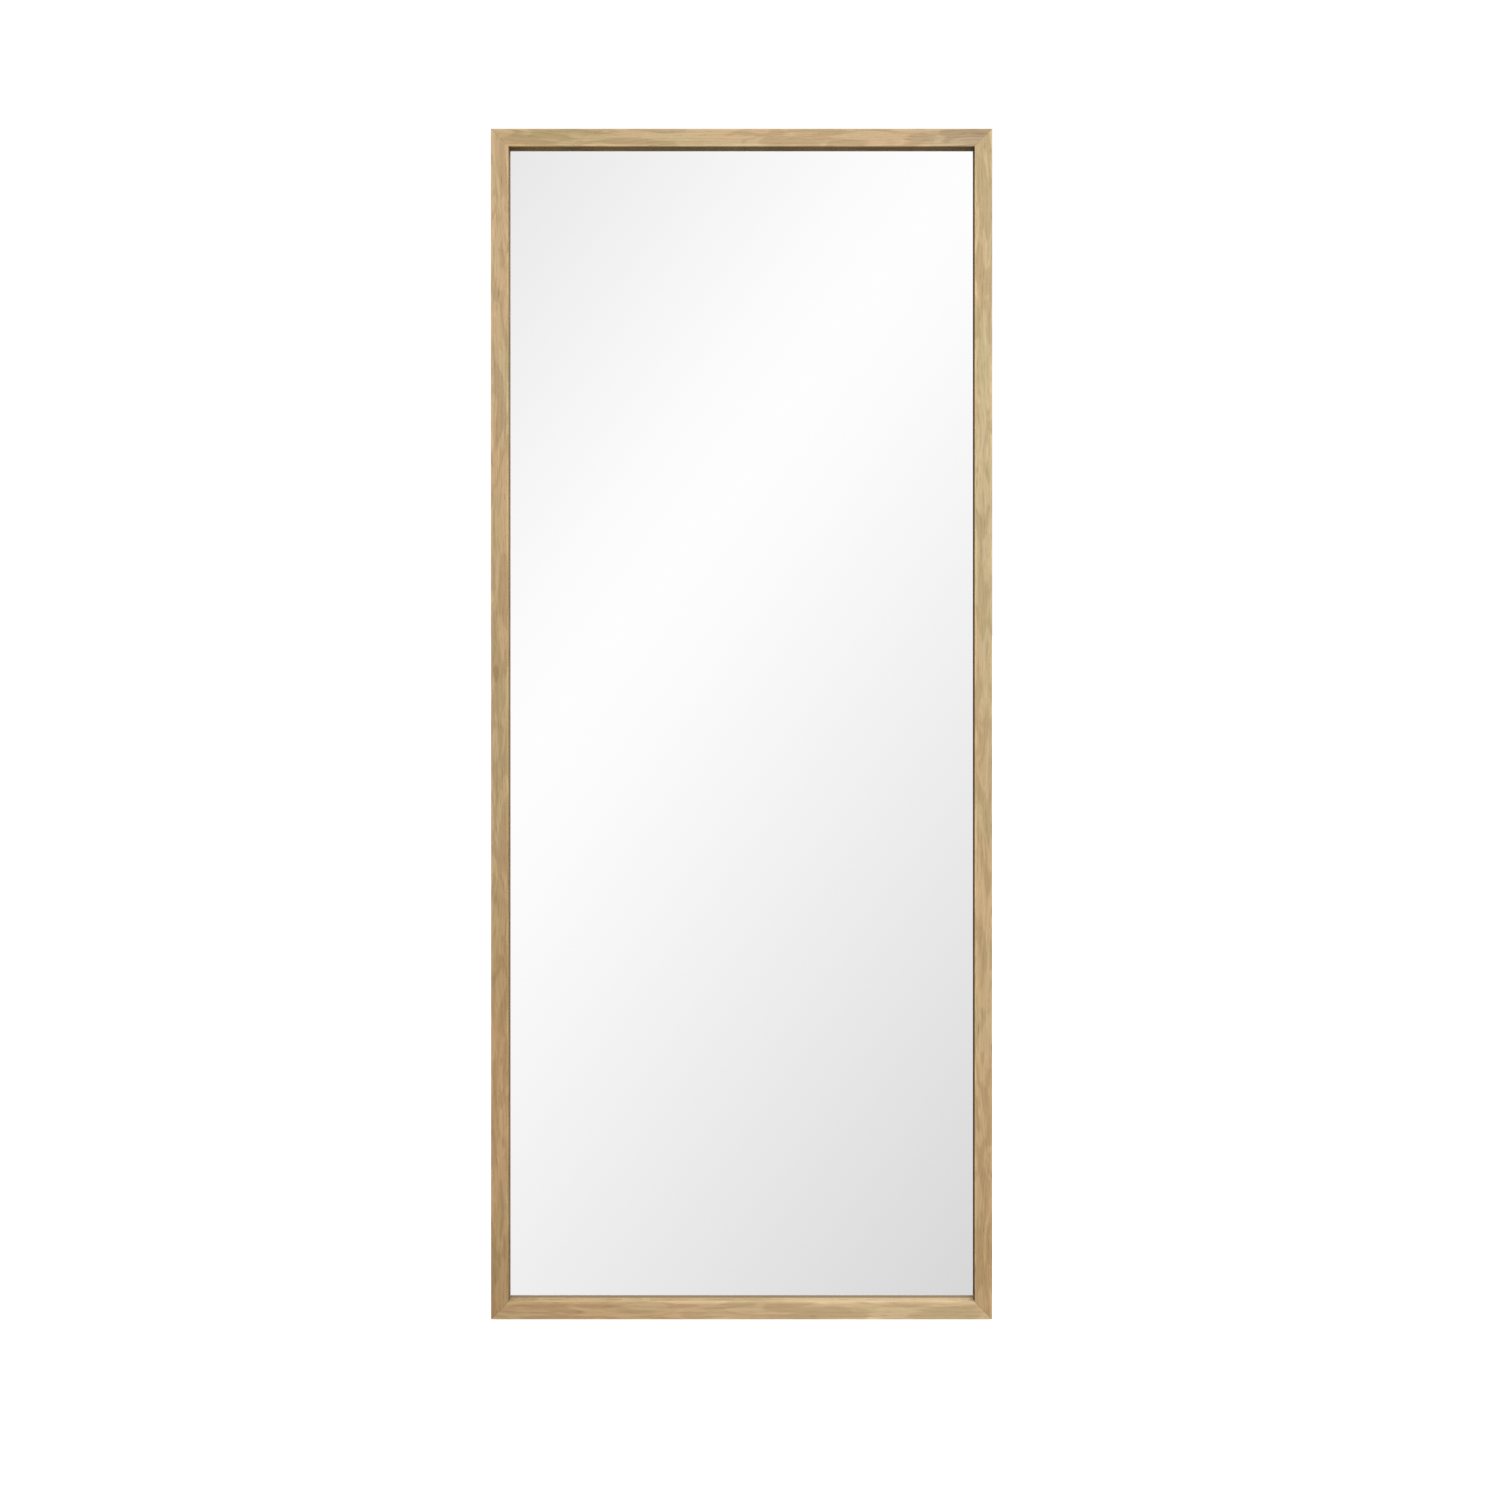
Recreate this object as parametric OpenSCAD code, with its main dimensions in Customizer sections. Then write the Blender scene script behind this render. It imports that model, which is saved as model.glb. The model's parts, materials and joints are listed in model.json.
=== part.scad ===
// Free-standing full-length mirror: a mitred oak frame round a recessed glass,
// leaning back on a folding wooden strut that two steel stays hold open.
// Millimetres. Origin on the floor, in the middle of the footprint. +X right, +Y back, +Z up.

/* [Mirror frame] */
// Outer width of the frame
frame_w = 800; // [560:5:1100]
// Outer height of the frame, measured along the mirror
frame_h = 1900; // [1400:5:2300]
// Width of the face seen from the front
face_w = 28; // [23:0.5:60]
// Depth from the front of the frame to the glass
glass_recess = 16; // [10:0.5:24]
// Width of the rabbet behind the lip
rabbet_w = 10; // [8:0.5:16]
// Radius of the eased edges
edge_ease = 2; // [0.5:0.1:4]
// How far the mirror leans back, in degrees
lean = 7; // [4:0.5:11]

/* [Glass and back] */
// Thickness of the glass
glass_t = 4; // [3:0.5:6]
// Gap between the edge of the glass and the rabbet
glass_gap = 2; // [1:0.5:3]
// Thickness of the backing board
board_t = 5; // [3:0.5:8]
// Thickness of the two battens
batten_t = 12; // [9:0.5:20]
// Height of the two battens
batten_h = 70; // [64:1:100]

/* [Strut] */
// Distance of the hinge line from the top of the frame, measured along the mirror
hinge_drop = 550; // [400:5:900]
// Angle between strut and mirror when it stands, in degrees
strut_open = 14; // [11:0.5:20]
// Width of the strut across its legs
strut_w = 460; // [300:5:560]
// Width of a leg, across the mirror
leg_w = 24; // [18:1:36]
// Thickness of a leg, front to back
leg_t = 18; // [15:1:30]
// Height of the strut's rails
strut_rail_h = 50; // [40:1:80]
// Diameter of the hinge bolts
hinge_bolt_d = 8; // [6:0.5:10]

/* [Stays and hangers] */
// Length of a stay arm between its pins, and its distance down the strut
stay_reach = 320; // [240:5:420]
// Width of a stay arm
stay_w = 16; // [14:1:22]
// Diameter of the stay's pins
stay_pin_d = 6; // [5:0.5:7]
// Thickness of the steel brackets, tracks and arms
plate_t = 3; // [2:0.5:4]
// Distance of the hangers from the top of the frame
hanger_drop = 250; // [150:5:400]
// Diameter of the hanger ring's wire
ring_wire_d = 3; // [2:0.5:4]

/* [Hidden] */
$fn = 64;
wall_w = face_w - rabbet_w;             // solid wood beside the rabbet
board_gap = 1;                          // between the board and the battens
frame_d = glass_recess + glass_t + board_t + board_gap + batten_t;
run_fit = 0.05;                         // radial clearance of a turning pin
slide_fit = 0.08;                       // clearance each side of a sliding pin
wood_fit = 0.05;                        // round a screw, dowel or spline
pad_t = 1.5;                            // a floor pad at its thin rear edge
lift = frame_d * sin(lean) + pad_t * cos(lean);
steps = 5;                              // facets of an eased edge

// frame joinery
spline_t = 3;
spline_l = 0.64 * face_w;
spline_w = 0.43 * face_w;
corner_leg = 90;
corner_w = wall_w - 4;
corner_t = 2;
skin_w = 4;                             // wood left outside a batten's housing
batten_x = frame_w / 2 - skin_w - 0.3;  // end of a batten
batten_screw_x = (batten_x + frame_w / 2 - wall_w) / 2;

// screws
screw_r = 2;
head_r = 3.6;
head_h = 2.2;
bracket_screw_l = plate_t + batten_t - 2;

// strut, hung from the hinge line
strut_gap = 3;
hinge_rise = frame_h - hinge_drop;
axis_y = frame_d + strut_gap + leg_t / 2;
strut_tilt = strut_open - lean;
hinge_y = axis_y * cos(lean) + hinge_rise * sin(lean);
hinge_z = hinge_rise * cos(lean) - axis_y * sin(lean) + lift;
foot_t = 4;
leg_len = hinge_z / cos(strut_tilt);
leg_in = strut_w / 2 - leg_w;           // inner face of a leg
leg_mid = strut_w / 2 - leg_w / 2;
top_rail_z = -85;
low_rail_z = -(leg_len - 330);
dowel_r = 4;
dowel_l = 40;
dowel_step = strut_rail_h / 4;

// hinge hardware
washer_t = 1.5;
bolt_r = hinge_bolt_d / 2;
washer_r = bolt_r + 5;
web_out = leg_in - washer_t;            // outer face of a bracket's web
web_in = web_out - plate_t;
bracket_r = bolt_r + 7;
bracket_h = 56;
bracket_l = 44;
bolt_head_r = bolt_r + 2.5;
bolt_head_t = 4;
nut_t = 6;

// stays
pin_r = stay_pin_d / 2;
arm_out = leg_in - washer_t;
arm_in = arm_out - plate_t;
arm_gap = 0.6;
track_out = arm_in - arm_gap;
track_in = track_out - plate_t;
slot_high = -2 * stay_reach * cos(strut_open);
slot_low = -2 * stay_reach;
track_margin = 14;
track_l = 34;
pin_head_r = pin_r + 2.5;
pin_head_t = 2.5;
low_batten_z = hinge_rise + (slot_high + slot_low) / 2;

// hangers
ring_r = ring_wire_d / 2;
barrel_r = ring_r + 1.6;
barrel_l = 9;
ring_half = 6.5;                        // half the ring's width, at the wire's centre
ring_side = 7;                          // straight part of the ring's sides
hanger_x = frame_w / 2 - wall_w / 2;
hanger_z = frame_h - hanger_drop;
hanger_l = 48;
hanger_t = 1.5;

// footprint
front_y = edge_ease * (cos(lean) + sin(lean) - 1);
rear_y = max(hinge_y + leg_t / 2 * cos(strut_tilt) - floor_cut(leg_t / 2, 0) * sin(strut_tilt),
             frame_d * cos(lean) + frame_h * sin(lean));
shift_y = -(front_y + rear_y) / 2;

oak = [0.74, 0.62, 0.46];
pine = [0.82, 0.70, 0.50];
hardboard = [0.45, 0.33, 0.22];
silver = [0.90, 0.92, 0.93];
steel = [0.62, 0.63, 0.64];
blackened = [0.16, 0.16, 0.17];
rubber = [0.10, 0.10, 0.10];

// Height along the strut of the plane that lies h above the floor, at depth y
function floor_cut(y, h) = (h - hinge_z - y * sin(strut_tilt)) / cos(strut_tilt);
// Height on the mirror of the floor, at depth y
function floor_at(y) = (y * sin(lean) - lift) / cos(lean);
// Points of an arc of radius r round c
function arc(c, r, from, to) =
    [for (i = [0:steps]) let (a = from + (to - from) * i / steps) c + r * [cos(a), sin(a)]];

// ---- placing ----

module on_mirror() {
    translate([0, shift_y, lift]) rotate([-lean, 0, 0]) children();
}

module on_strut() {
    translate([0, shift_y + hinge_y, hinge_z]) rotate([strut_tilt, 0, 0]) children();
}

// From a stay's upper pin, with the arm hanging along -Z
module on_stay() {
    on_mirror() translate([0, axis_y + stay_reach * sin(strut_open),
                           hinge_rise - stay_reach * cos(strut_open)])
        rotate([-strut_open, 0, 0]) children();
}

module sides() {
    for (s = [-1, 1]) on_side(s) children();
}

module on_side(s) {
    if (s > 0) children();
    else mirror([1, 0, 0]) children();
}

// ---- shared shapes ----

// A round bar from x0 to x1
module bar_x(r, x0, x1) {
    translate([x0, 0, 0]) rotate([0, 90, 0]) cylinder(r = r, h = x1 - x0);
}

// A hex head or nut from x0 to x1
module hex_x(r, x0, x1) {
    translate([x0, 0, 0]) rotate([0, 90, 0]) cylinder(r = r, h = x1 - x0, $fn = 6);
}

// A countersunk screw driven towards the front, with its head flush at y = 0
module flush_screw(l, grow = 0) {
    rotate([90, 0, 0]) {
        cylinder(r = screw_r + grow, h = l + grow);
        cylinder(r1 = head_r + grow, r2 = screw_r + grow, h = head_h);
    }
}

// A pan-head screw driven towards the front, with the underside of its head at y = 0
module pan_screw(l, r = screw_r, grow = 0) {
    rotate([90, 0, 0]) cylinder(r = r + grow, h = l + grow);
    if (grow == 0) rotate([-90, 0, 0]) {
        cylinder(r = r * 1.8, h = 1);
        translate([0, 0, 1]) cylinder(r1 = r * 1.8, r2 = r * 1.2, h = 0.9);
    }
}

// Section of a frame member: x runs in from the outer edge, y runs back
module frame_section() {
    polygon(concat(
        arc([edge_ease, edge_ease], edge_ease, 180, 270),
        arc([face_w - edge_ease / 2, edge_ease / 2], edge_ease / 2, 270, 360),
        [[face_w, glass_recess], [wall_w, glass_recess], [wall_w, frame_d]],
        arc([edge_ease, frame_d - edge_ease], edge_ease, 90, 180)
    ));
}

// A frame member lying along X, outer edge down, mitred at both ends
module member(l) {
    intersection() {
        translate([-l / 2, 0, 0]) rotate([90, 0, 90])
            linear_extrude(height = l) mirror([1, 0]) rotate(90) frame_section();
        translate([0, frame_d + 1, 0]) rotate([90, 0, 0]) linear_extrude(height = frame_d + 2)
            polygon(concat(
                arc([edge_ease - l / 2, edge_ease], edge_ease, 225, 270),
                arc([l / 2 - edge_ease, edge_ease], edge_ease, 270, 315),
                [[l / 2 - face_w, face_w], [face_w - l / 2, face_w]]
            ));
    }
}

// The corner points of the frame, with each corner turned to look like the lower left one
module at_corners() {
    for (sx = [-1, 1], sz = [0, 1])
        translate([sx * frame_w / 2, 0, sz * frame_h])
            mirror([sx > 0 ? 1 : 0, 0, 0]) mirror([0, 0, sz])
                children();
}

module spline(grow = 0) {
    translate([face_w / 2, glass_recess / 2, face_w / 2]) rotate([0, 45, 0])
        cube([spline_w + 2 * grow, spline_t + 2 * grow, spline_l + 2 * grow], center = true);
}

module corner_plate_screws(grow = 0) {
    for (d = [28, 76]) {
        translate([wall_w / 2, frame_d + corner_t, d]) flush_screw(18, grow);
        translate([d, frame_d + corner_t, wall_w / 2]) flush_screw(18, grow);
    }
}

// Screws through both ends of a batten, at height z
module batten_end_screws(z, grow = 0) {
    for (s = [-1, 1], dz = [-1, 1])
        translate([s * batten_screw_x, frame_d, z + dz * batten_h / 4])
            flush_screw(batten_t + 12, grow);
}

module housing(z) {
    translate([-batten_x - 0.3, frame_d - batten_t - 0.1, z - batten_h / 2 - 0.1])
        cube([2 * batten_x + 0.6, batten_t + 1, batten_h + 0.2]);
}

module hanger_plate_screws(grow = 0) {
    for (dz = [26, 40])
        translate([hanger_x, frame_d + hanger_t, hanger_z - dz]) pan_screw(16, 1.6, grow);
}

module stile_cuts() {
    at_corners() { spline(wood_fit); corner_plate_screws(wood_fit); }
    for (z = [hinge_rise, low_batten_z]) { housing(z); batten_end_screws(z, wood_fit); }
    sides() hanger_plate_screws(wood_fit);
}

module rail_cuts() {
    at_corners() { spline(wood_fit); corner_plate_screws(wood_fit); }
}

module stile(s) {
    color(oak) on_mirror() difference() {
        on_side(s) translate([frame_w / 2, 0, frame_h / 2]) rotate([0, -90, 0]) member(frame_h);
        stile_cuts();
    }
}

// ---- the frame ----

module top_rail() {
    color(oak) on_mirror() difference() {
        translate([0, 0, frame_h]) mirror([0, 0, 1]) member(frame_w);
        rail_cuts();
    }
}

module bottom_rail() {
    color(oak) on_mirror() difference() {
        member(frame_w);
        rail_cuts();
    }
}

module left_stile() { stile(-1); }
module right_stile() { stile(1); }

module mitre_splines() {
    color(pine) on_mirror() at_corners() spline();
}

module corner_plates() {
    color(steel) on_mirror() at_corners() difference() {
        translate([(wall_w - corner_w) / 2, frame_d, (wall_w - corner_w) / 2]) {
            cube([corner_w, corner_t, corner_leg]);
            cube([corner_leg, corner_t, corner_w]);
        }
        corner_plate_screws(wood_fit);
    }
}

module corner_screws() {
    color(steel) on_mirror() at_corners() corner_plate_screws();
}

// ---- glass and back ----

module mirror_glass() {
    inset = wall_w + glass_gap;
    color(silver) on_mirror() translate([inset - frame_w / 2, glass_recess, inset])
        cube([frame_w - 2 * inset, glass_t, frame_h - 2 * inset]);
}

module setting_blocks() {
    l = 40;
    color(rubber) on_mirror() {
        for (x = [-1, 1], top = [0, 1])
            translate([x * frame_w / 4 - l / 2, glass_recess,
                       top == 0 ? wall_w : frame_h - wall_w - glass_gap])
                cube([l, glass_t, glass_gap]);
        for (s = [-1, 1], z = [frame_h / 4, frame_h * 3 / 4])
            translate([s * (frame_w / 2 - wall_w - glass_gap / 2) - glass_gap / 2, glass_recess, z - l / 2])
                cube([glass_gap, glass_t, l]);
    }
}

module backing_board() {
    inset = wall_w + board_gap;
    color(hardboard) on_mirror() translate([inset - frame_w / 2, glass_recess + glass_t, inset])
        cube([frame_w - 2 * inset, board_t, frame_h - 2 * inset]);
}

// Blocks that hold the board: a pair of rows below the lower batten, then one in each space above
module rub_blocks() {
    l = 60;
    d = batten_t - 1;
    y = glass_recess + glass_t + board_t;
    low = low_batten_z - batten_h / 2;
    mid = [low_batten_z + batten_h / 2, hinge_rise - batten_h / 2];
    high = hinge_rise + batten_h / 2;
    heights = [low * 0.2776, low * 0.6662, mid[0] + (mid[1] - mid[0]) * 0.4844,
               high + (frame_h - high) * 0.4835];
    block = [[0, y], [0, y + d], [3, y + d], [d, y + 3], [d, y]];
    color(pine) on_mirror() {
        for (s = [-1, 1], z = heights)
            on_side(s) translate([frame_w / 2 - wall_w, 0, z - l / 2])
                linear_extrude(height = l) mirror([1, 0]) polygon(block);
        for (x = [-1, 1], top = [0, 1])
            translate([x * frame_w / 5 - l / 2, 0, top * frame_h])
                mirror([0, 0, top]) translate([0, 0, wall_w])
                    rotate([90, 0, 90]) linear_extrude(height = l)
                        mirror([1, 0]) rotate(90) polygon(block);
    }
}

module batten(z) {
    color(pine) on_mirror() difference() {
        translate([-batten_x, frame_d - batten_t, z - batten_h / 2])
            cube([2 * batten_x, batten_t, batten_h]);
        batten_end_screws(z, wood_fit);
        sides() { hinge_screws(wood_fit); slot_screws(wood_fit); }
    }
}

module upper_batten() { batten(hinge_rise); }
module lower_batten() { batten(low_batten_z); }

module batten_screws() {
    color(steel) on_mirror() for (z = [hinge_rise, low_batten_z]) batten_end_screws(z);
}

// ---- brackets on the battens ----

module hinge_screws(grow = 0) {
    for (dx = [14, bracket_l - 8], dz = [-1, 1])
        translate([web_out - dx, frame_d + plate_t, hinge_rise + dz * 18])
            pan_screw(bracket_screw_l, screw_r, grow);
}

// Right-hand bracket: a flange on the batten and a web with the hinge hole
module hinge_bracket(s) {
    color(blackened) on_mirror() on_side(s) difference() {
        union() {
            translate([web_out - bracket_l, frame_d, hinge_rise - bracket_h / 2])
                cube([bracket_l, plate_t, bracket_h]);
            translate([web_in, frame_d, hinge_rise - bracket_r])
                cube([plate_t, axis_y - frame_d, 2 * bracket_r]);
            translate([0, axis_y, hinge_rise]) bar_x(bracket_r, web_in, web_out);
        }
        translate([0, axis_y, hinge_rise]) bar_x(bolt_r + run_fit, web_in - 1, web_out + 1);
        hinge_screws(wood_fit);
    }
}

module hinge_bracket_left() { hinge_bracket(-1); }
module hinge_bracket_right() { hinge_bracket(1); }

module bracket_screws() {
    color(steel) on_mirror() for (s = [-1, 1]) on_side(s) hinge_screws();
}

module slot_screws(grow = 0) {
    for (dx = [14, track_l - 8], dz = [-1, 1])
        translate([track_out - dx, frame_d + plate_t, low_batten_z + dz * 14])
            pan_screw(bracket_screw_l, screw_r, grow);
}

// Right-hand track: a flange on the batten and a web with the slot
module stay_track(s) {
    h = slot_high - slot_low + 2 * track_margin;
    y1 = axis_y + pin_r + 7;
    color(blackened) on_mirror() on_side(s) difference() {
        translate([0, 0, low_batten_z - h / 2]) {
            translate([track_out - track_l, frame_d, 0]) cube([track_l, plate_t, h]);
            translate([track_in, frame_d, 0]) cube([plate_t, y1 - frame_d, h]);
        }
        for (z = [slot_high, slot_low]) translate([0, axis_y, hinge_rise + z])
            bar_x(pin_r + slide_fit, track_in - 1, track_out + 1);
        translate([track_in - 1, axis_y - pin_r - slide_fit, hinge_rise + slot_low])
            cube([plate_t + 2, 2 * (pin_r + slide_fit), slot_high - slot_low]);
        slot_screws(wood_fit);
    }
}

module stay_track_left() { stay_track(-1); }
module stay_track_right() { stay_track(1); }

module track_screws() {
    color(steel) on_mirror() for (s = [-1, 1]) on_side(s) slot_screws();
}

// ---- under the frame ----

// Wedges that bring the leaning frame down flat on the floor
module floor_pads() {
    l = 60;
    y0 = frame_d - 18;
    y1 = frame_d - edge_ease;
    color(rubber) on_mirror() for (s = [-1, 1])
        translate([s * (frame_w / 2 - 70) - l / 2, 0, 0]) rotate([90, 0, 90])
            linear_extrude(height = l)
                polygon([[y0, 0], [y0, floor_at(y0)], [y1, floor_at(y1)], [y1, 0]]);
}

// ---- hangers ----

module hanger_plate(s) {
    color(steel) on_mirror() on_side(s) difference() {
        union() {
            translate([hanger_x - barrel_l / 2, frame_d, hanger_z - hanger_l])
                cube([barrel_l, hanger_t, hanger_l]);
            translate([0, frame_d + barrel_r, hanger_z])
                bar_x(barrel_r, hanger_x - barrel_l / 2, hanger_x + barrel_l / 2);
        }
        translate([0, frame_d + barrel_r, hanger_z]) bar_x(ring_r + run_fit, 0, frame_w);
        hanger_plate_screws(wood_fit);
    }
}

module hanger_plate_left() { hanger_plate(-1); }
module hanger_plate_right() { hanger_plate(1); }

module hanger_screws() {
    color(steel) on_mirror() for (s = [-1, 1]) on_side(s) hanger_plate_screws();
}

// A D of round wire that hangs straight down from its barrel
module hanger_ring(s) {
    color(steel) on_mirror() on_side(s) translate([hanger_x, frame_d + barrel_r, hanger_z])
        rotate([lean, 0, 0]) {
            bar_x(ring_r, -ring_half, ring_half);
            for (x = [-ring_half, ring_half]) translate([x, 0, 0]) {
                sphere(r = ring_r);
                translate([0, 0, -ring_side]) cylinder(r = ring_r, h = ring_side);
            }
            translate([0, 0, -ring_side]) rotate([-90, 0, 0])
                rotate_extrude(angle = 180) translate([ring_half, 0]) circle(r = ring_r);
        }
}

module hanger_ring_left() { hanger_ring(-1); }
module hanger_ring_right() { hanger_ring(1); }

// ---- the strut, hung from its hinge line ----

// Side view of a leg between the heights of its cuts: y across, z down from the hinge
module leg_side(h0, h1) {
    polygon([[-leg_t / 2, h1 < 0 ? 0 : floor_cut(-leg_t / 2, h1)], [-leg_t / 2, floor_cut(-leg_t / 2, h0)],
             [leg_t / 2, floor_cut(leg_t / 2, h0)], [leg_t / 2, h1 < 0 ? 0 : floor_cut(leg_t / 2, h1)]]);
}

module dowels(grow = 0) {
    for (s = [-1, 1], z = [top_rail_z, low_rail_z], dz = [-1, 1])
        translate([s * leg_in, 0, z + dz * dowel_step])
            bar_x(dowel_r + grow, -dowel_l / 2 - grow, dowel_l / 2 + grow);
}

module strut_leg(s) {
    c = 1.5;
    x0 = leg_in + c;
    x1 = strut_w / 2 - c;
    color(oak) on_strut() on_side(s) difference() {
        intersection() {
            union() {
                translate([leg_in, 0, 0]) rotate([90, 0, 90])
                    linear_extrude(height = leg_w) leg_side(foot_t, -1);
                bar_x(leg_t / 2, leg_in, strut_w / 2);
            }
            translate([0, 0, -leg_len - leg_t]) linear_extrude(height = leg_len + 2 * leg_t) polygon([
                [x0, -leg_t / 2], [x1, -leg_t / 2], [x1 + c, c - leg_t / 2], [x1 + c, leg_t / 2 - c],
                [x1, leg_t / 2], [x0, leg_t / 2], [x0 - c, leg_t / 2 - c], [x0 - c, c - leg_t / 2]]);
        }
        dowels(wood_fit);
        bar_x(bolt_r + wood_fit, leg_in - 1, strut_w / 2 + 1);
        translate([0, 0, -stay_reach]) bar_x(pin_r + wood_fit, leg_in - 1, strut_w / 2 + 1);
    }
}

module strut_leg_left() { strut_leg(-1); }
module strut_leg_right() { strut_leg(1); }

module strut_rail(z) {
    c = 1.5;
    t = leg_t / 2;
    h = strut_rail_h / 2;
    color(oak) on_strut() difference() {
        translate([-leg_in, 0, z]) rotate([90, 0, 90]) linear_extrude(height = 2 * leg_in) polygon([
            [c - t, -h], [t - c, -h], [t, c - h], [t, h - c],
            [t - c, h], [c - t, h], [-t, h - c], [-t, c - h]]);
        dowels(wood_fit);
    }
}

module strut_top_rail() { strut_rail(top_rail_z); }
module strut_low_rail() { strut_rail(low_rail_z); }

module strut_dowels() {
    color(pine) on_strut() dowels();
}

module strut_feet() {
    color(rubber) on_strut() for (s = [-1, 1]) on_side(s)
        translate([leg_in + 0.5, 0, 0]) rotate([90, 0, 90]) linear_extrude(height = leg_w - 1)
            leg_side(0, foot_t);
}

// ---- hinge and stay hardware, carried by the strut ----

module hinge_bolts() {
    color(steel) on_strut() for (s = [-1, 1]) on_side(s) {
        hex_x(bolt_head_r, web_in - 0.3 - bolt_head_t, web_in - 0.3);
        bar_x(bolt_r, web_in - 0.3, strut_w / 2 + nut_t + 1.5);
    }
}

module ring_x(r_out, r_in, x0, x1) {
    difference() {
        bar_x(r_out, x0, x1);
        bar_x(r_in, x0 - 1, x1 + 1);
    }
}

module hinge_washers() {
    color(steel) on_strut() for (s = [-1, 1]) on_side(s)
        ring_x(washer_r, bolt_r + wood_fit, web_out + 0.2, leg_in);
}

module hinge_nuts() {
    color(steel) on_strut() for (s = [-1, 1]) on_side(s) difference() {
        hex_x(bolt_head_r, strut_w / 2, strut_w / 2 + nut_t);
        bar_x(bolt_r + wood_fit, strut_w / 2 - 1, strut_w / 2 + nut_t + 1);
    }
}

module stay_bolts() {
    color(steel) on_strut() translate([0, 0, -stay_reach]) for (s = [-1, 1]) on_side(s) {
        bar_x(pin_head_r, arm_in - 0.3 - pin_head_t, arm_in - 0.3);
        bar_x(pin_r, arm_in - 0.3, strut_w / 2 + nut_t);
    }
}

module stay_washers() {
    color(steel) on_strut() translate([0, 0, -stay_reach]) for (s = [-1, 1]) on_side(s)
        ring_x(pin_head_r + 1, pin_r + wood_fit, arm_out + 0.2, leg_in);
}

module stay_nuts() {
    color(steel) on_strut() translate([0, 0, -stay_reach]) for (s = [-1, 1]) on_side(s) difference() {
        hex_x(pin_head_r, strut_w / 2, strut_w / 2 + nut_t - 1);
        bar_x(pin_r + wood_fit, strut_w / 2 - 1, strut_w / 2 + nut_t + 1);
    }
}

// ---- the stays ----

module stay_arm(s) {
    color(blackened) on_stay() on_side(s) difference() {
        union() {
            translate([arm_in, -stay_w / 2, -stay_reach]) cube([plate_t, stay_w, stay_reach]);
            for (z = [0, -stay_reach]) translate([0, 0, z]) bar_x(stay_w / 2, arm_in, arm_out);
        }
        bar_x(pin_r + run_fit, arm_in - 1, arm_out + 1);
        translate([0, 0, -stay_reach]) bar_x(pin_r + wood_fit, arm_in - 1, arm_out + 1);
    }
}

module stay_arm_left() { stay_arm(-1); }
module stay_arm_right() { stay_arm(1); }

module slide_pin(s) {
    color(steel) on_stay() on_side(s) translate([0, 0, -stay_reach]) {
        bar_x(pin_r, track_in - 0.4, arm_out);
        bar_x(pin_head_r, track_in - 0.4 - pin_head_t, track_in - 0.4);
    }
}

module slide_pin_left() { slide_pin(-1); }
module slide_pin_right() { slide_pin(1); }

top_rail();
bottom_rail();
left_stile();
right_stile();
mitre_splines();
corner_plates();
corner_screws();
mirror_glass();
setting_blocks();
backing_board();
rub_blocks();
upper_batten();
lower_batten();
batten_screws();
hinge_bracket_left();
hinge_bracket_right();
bracket_screws();
stay_track_left();
stay_track_right();
track_screws();
floor_pads();
hanger_plate_left();
hanger_plate_right();
hanger_screws();
hanger_ring_left();
hanger_ring_right();
strut_leg_left();
strut_leg_right();
strut_top_rail();
strut_low_rail();
strut_dowels();
strut_feet();
hinge_bolts();
hinge_washers();
hinge_nuts();
stay_bolts();
stay_washers();
stay_nuts();
stay_arm_left();
stay_arm_right();
slide_pin_left();
slide_pin_right();
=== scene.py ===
# %% [markdown]
# # A full-length floor mirror
#
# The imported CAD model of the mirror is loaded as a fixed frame, and this script dresses it.
# Each wooden, steel and rubber piece gets worn edges and a finish made of nodes. Then a pale
# studio and a camera are set up round it. Everything is in metres, with Z up and the glass
# facing -Y.

# %% Load the CAD frame
import json
import math

import bmesh
import bpy
from mathutils import Matrix, Vector

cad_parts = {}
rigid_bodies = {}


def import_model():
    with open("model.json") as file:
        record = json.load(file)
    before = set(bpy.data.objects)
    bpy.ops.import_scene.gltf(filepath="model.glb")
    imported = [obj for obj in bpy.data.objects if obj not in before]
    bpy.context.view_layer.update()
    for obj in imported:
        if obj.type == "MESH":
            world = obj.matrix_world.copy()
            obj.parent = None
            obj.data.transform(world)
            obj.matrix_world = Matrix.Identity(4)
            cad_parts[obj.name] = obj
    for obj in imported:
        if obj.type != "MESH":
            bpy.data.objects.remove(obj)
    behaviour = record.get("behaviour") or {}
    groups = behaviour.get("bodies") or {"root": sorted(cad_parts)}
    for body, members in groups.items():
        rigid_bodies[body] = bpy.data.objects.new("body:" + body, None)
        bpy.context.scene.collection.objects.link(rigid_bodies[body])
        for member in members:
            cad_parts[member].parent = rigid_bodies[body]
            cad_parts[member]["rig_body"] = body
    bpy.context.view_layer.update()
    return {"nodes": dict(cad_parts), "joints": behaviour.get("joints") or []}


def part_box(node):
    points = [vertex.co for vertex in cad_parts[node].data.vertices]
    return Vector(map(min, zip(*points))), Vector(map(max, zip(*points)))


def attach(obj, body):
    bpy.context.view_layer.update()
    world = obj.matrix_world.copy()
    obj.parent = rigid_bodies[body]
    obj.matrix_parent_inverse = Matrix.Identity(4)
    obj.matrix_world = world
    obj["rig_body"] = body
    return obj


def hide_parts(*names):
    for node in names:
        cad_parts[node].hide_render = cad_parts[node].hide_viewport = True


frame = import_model()

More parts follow.
